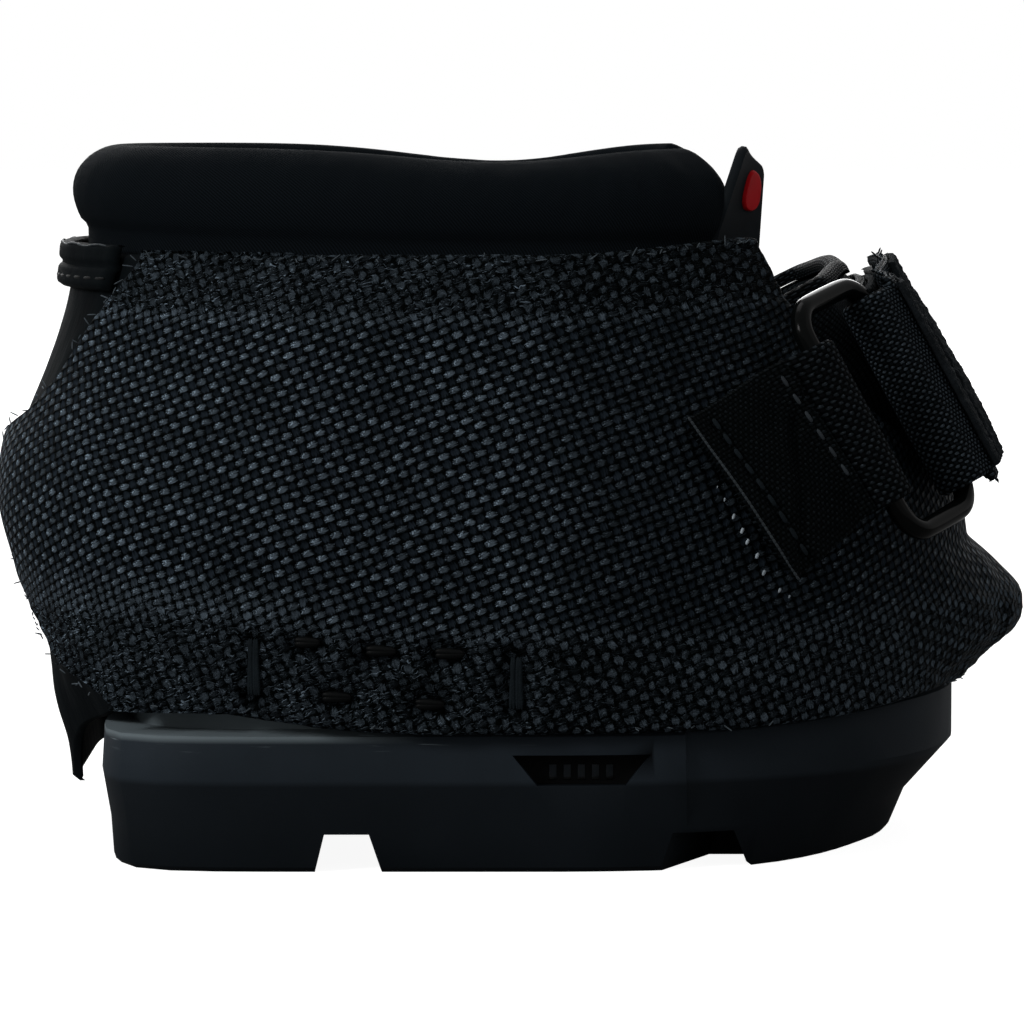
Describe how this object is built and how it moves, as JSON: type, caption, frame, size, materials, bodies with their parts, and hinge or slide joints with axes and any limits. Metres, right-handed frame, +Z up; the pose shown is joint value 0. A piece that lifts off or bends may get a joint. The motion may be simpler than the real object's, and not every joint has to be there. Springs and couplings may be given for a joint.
{
  "type": "hoof boot",
  "caption": "Horse hoof boot with a moulded tread cup, woven nylon upper, padded collar, tongue and a strap that folds back through an oval ring.",
  "frame": {"origin": "on the ground, midway along the length and across the width", "axes": "+X towards the toe, -Y towards the near side that carries the ring, +Z up"},
  "size_m": [0.1693, 0.1427, 0.113],
  "materials": {
    "sole_rubber": "matte moulded",
    "quarter_nylon": "coarse plain-weave nylon",
    "lining_cloth": "foam-backed cloth",
    "heel_leather": "smooth coated",
    "collar_knit": "fine twill knit",
    "collar_foam": "foam",
    "sole_thread": "bonded thread",
    "webbing": "woven webbing",
    "patch_nylon": "woven nylon patch",
    "fine_thread": "bonded thread",
    "tag_rubber": "moulded",
    "red_rubber": "moulded",
    "ring_wire": "black coated steel wire",
    "loop_pile": "napped loop pile",
    "hook_tape": "hook tape",
    "tongue_fabric": "smooth cloth",
    "binding": "ribbed binding"
  },
  "bodies": {
    "root": {"outsole": "sole_rubber", "near_quarter": "quarter_nylon", "far_quarter": "quarter_nylon", "near_lining": "lining_cloth", "far_lining": "lining_cloth", "heel_panel": "heel_leather", "heel_lip": "heel_leather", "collar_cover": "collar_knit", "collar_foam": "collar_foam", "near_sole_stitching": "sole_thread", "far_sole_stitching": "sole_thread", "ring_tab": "webbing", "tab_patch": "patch_nylon", "tab_stitching": "fine_thread", "strap_anchor": "webbing", "anchor_stitching": "fine_thread", "label_tab": "tag_rubber", "label_inlay": "red_rubber"},
    "ring": {"ring": "ring_wire"},
    "strap": {"strap_base": "webbing", "strap_loop_pile": "loop_pile", "strap_fold": "webbing"},
    "strap_tail": {"strap_tail": "webbing", "tail_hook_tape": "hook_tape", "tail_patch": "loop_pile", "tail_pile": "loop_pile"},
    "tongue": {"tongue_pad": "tongue_fabric", "tongue_binding": "binding"}
  },
  "joints": [
    {"name": "strap_open", "type": "hinge", "parent": "root", "child": "strap", "pos_m": [0.03797, 0.06044, 0.06474], "axis": [-0.377, -0.1393, 0.9157], "range_deg": [0, 95], "deforming": ["strap_fold"]},
    {"name": "strap_peel", "type": "hinge", "parent": "strap", "child": "strap_tail", "pos_m": [0.06783, -0.03823, 0.0761], "axis": [0.4732, -0.0825, -0.8771], "range_deg": [0, 105]},
    {"name": "ring_swing", "type": "hinge", "parent": "root", "child": "ring", "pos_m": [0.0527, -0.05457, 0.06947], "axis": [0.4732, -0.0825, -0.8771], "range_deg": [0, 120]},
    {"name": "tongue_fold", "type": "hinge", "parent": "root", "child": "tongue", "pos_m": [0.06654, 0, 0.04374], "axis": [0, -1, 0], "range_deg": [0, 20], "stiffness_Nm_per_rad": 0.02, "springref_deg": -11.46}
  ]
}
